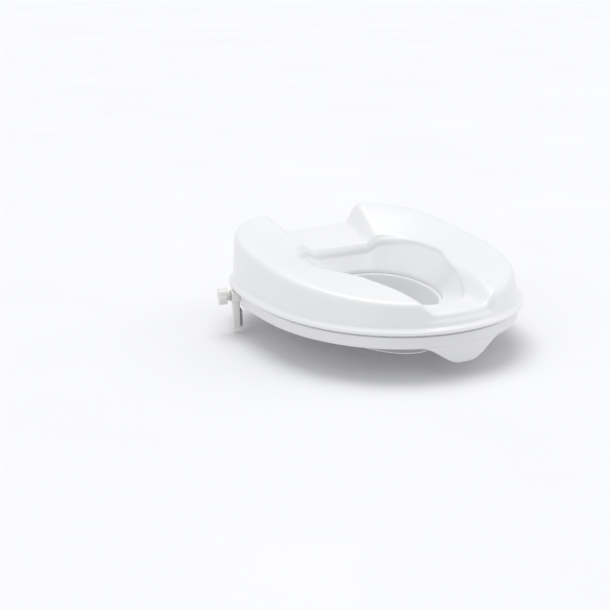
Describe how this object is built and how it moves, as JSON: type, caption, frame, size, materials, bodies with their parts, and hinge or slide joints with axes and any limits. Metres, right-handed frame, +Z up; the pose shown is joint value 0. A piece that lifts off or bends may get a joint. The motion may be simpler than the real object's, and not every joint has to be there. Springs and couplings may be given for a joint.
{
  "type": "raised toilet seat",
  "caption": "Raised toilet seat with a sloped moulded top, keyhole aperture, splash collar, front hook lip and screw clamps that grip the bowl.",
  "frame": {"origin": "under the middle of the seat's flange, on the plane of the splash collar's foot", "axes": "+X to the right as seen from the front, -Y to the seat's front, +Z up"},
  "size_m": [0.393, 0.43, 0.1339],
  "materials": {
    "seat": "white moulded plastic, satin to gloss",
    "collar": "white moulded plastic, smooth",
    "base": "white moulded plastic, satin",
    "clamp_plastic": "warm ivory moulded plastic",
    "nylon": "natural nylon",
    "pad_rubber": "grey non-slip rubber",
    "jaw_rubber": "grey rubber",
    "screw_steel": "zinc plated",
    "spindle_steel": "zinc plated"
  },
  "bodies": {
    "seat": {"seat_shell": "seat", "splash_collar": "collar", "base_ring": "base", "pad_rear_right": "pad_rubber", "pad_rear_left": "pad_rubber", "pad_front_left": "pad_rubber", "pad_front_right": "pad_rubber", "base_screw_1": "screw_steel", "base_screw_2": "screw_steel", "base_screw_3": "screw_steel", "base_screw_4": "screw_steel", "base_screw_5": "screw_steel", "base_screw_6": "screw_steel", "base_screw_7": "screw_steel", "base_screw_8": "screw_steel", "guide_screw_left_1": "screw_steel", "guide_screw_left_2": "screw_steel", "guide_screw_right_1": "screw_steel", "guide_screw_right_2": "screw_steel", "guide_block_left": "nylon", "guide_block_right": "nylon", "captive_nut_left": "spindle_steel", "captive_nut_right": "spindle_steel"},
    "left_arm": {"clamp_arm_left": "clamp_plastic", "jaw_pad_left": "jaw_rubber"},
    "left_screw": {"knob_left": "clamp_plastic", "spindle_left": "spindle_steel", "thrust_washer_left": "nylon", "retaining_clip_left": "spindle_steel"},
    "right_arm": {"clamp_arm_right": "clamp_plastic", "jaw_pad_right": "jaw_rubber"},
    "right_screw": {"knob_right": "clamp_plastic", "spindle_right": "spindle_steel", "thrust_washer_right": "nylon", "retaining_clip_right": "spindle_steel"}
  },
  "joints": [
    {"name": "left_arm_slide", "type": "slide", "parent": "seat", "child": "left_arm", "axis": [0.9511, -0.309, 0], "range_m": [-0.012, 0.00525]},
    {"name": "left_knob_turn", "type": "hinge", "parent": "left_arm", "child": "left_screw", "pos_m": [-0.166, 0.096, 0.052], "axis": [0.9511, -0.309, 0], "range_deg": [-1446, 636]},
    {"name": "right_arm_slide", "type": "slide", "parent": "seat", "child": "right_arm", "axis": [-0.9511, -0.309, 0], "range_m": [-0.012, 0.00525]},
    {"name": "right_knob_turn", "type": "hinge", "parent": "right_arm", "child": "right_screw", "pos_m": [0.166, 0.096, 0.052], "axis": [-0.9511, -0.309, 0], "range_deg": [-1446, 636]}
  ],
  "couplings": [
    {"joint": "left_knob_turn", "follows": "left_arm_slide", "rad_per_m": 2094.4},
    {"joint": "right_knob_turn", "follows": "right_arm_slide", "rad_per_m": 2094.4}
  ]
}
